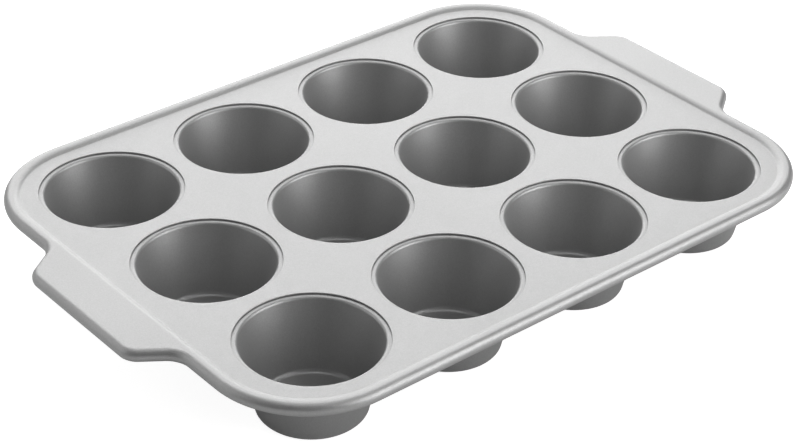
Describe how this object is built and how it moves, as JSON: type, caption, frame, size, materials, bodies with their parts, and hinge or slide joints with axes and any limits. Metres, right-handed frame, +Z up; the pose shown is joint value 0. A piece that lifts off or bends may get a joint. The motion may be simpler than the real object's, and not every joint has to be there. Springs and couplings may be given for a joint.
{
  "type": "muffin pan",
  "caption": "Muffin pan of coated sheet steel: drawn cups seamed into a sunk deck with a raised border, a rolled wire rim and a flat handle at both short ends.",
  "frame": {"origin": "middle of the pan's footprint, on the surface that the cups stand on", "axes": "+X along the long side, from the left handle to the right one; +Y from the near row of cups to the far row; +Z up"},
  "size_m": [0.4024, 0.2744, 0.0412],
  "materials": {
    "frame_coating": "satin grey non-stick coating with fine speckle, on steel sheet",
    "cup_coating": "satin grey non-stick coating with fine speckle, on steel sheet",
    "wire_steel": "bare drawn wire"
  },
  "bodies": {
    "root": {"pan_frame": "frame_coating", "rim_wire": "wire_steel", "cup_row1_col1": "cup_coating", "cup_row1_col2": "cup_coating", "cup_row1_col3": "cup_coating", "cup_row1_col4": "cup_coating", "cup_row2_col1": "cup_coating", "cup_row2_col2": "cup_coating", "cup_row2_col3": "cup_coating", "cup_row2_col4": "cup_coating", "cup_row3_col1": "cup_coating", "cup_row3_col2": "cup_coating", "cup_row3_col3": "cup_coating", "cup_row3_col4": "cup_coating"}
  },
  "joints": []
}
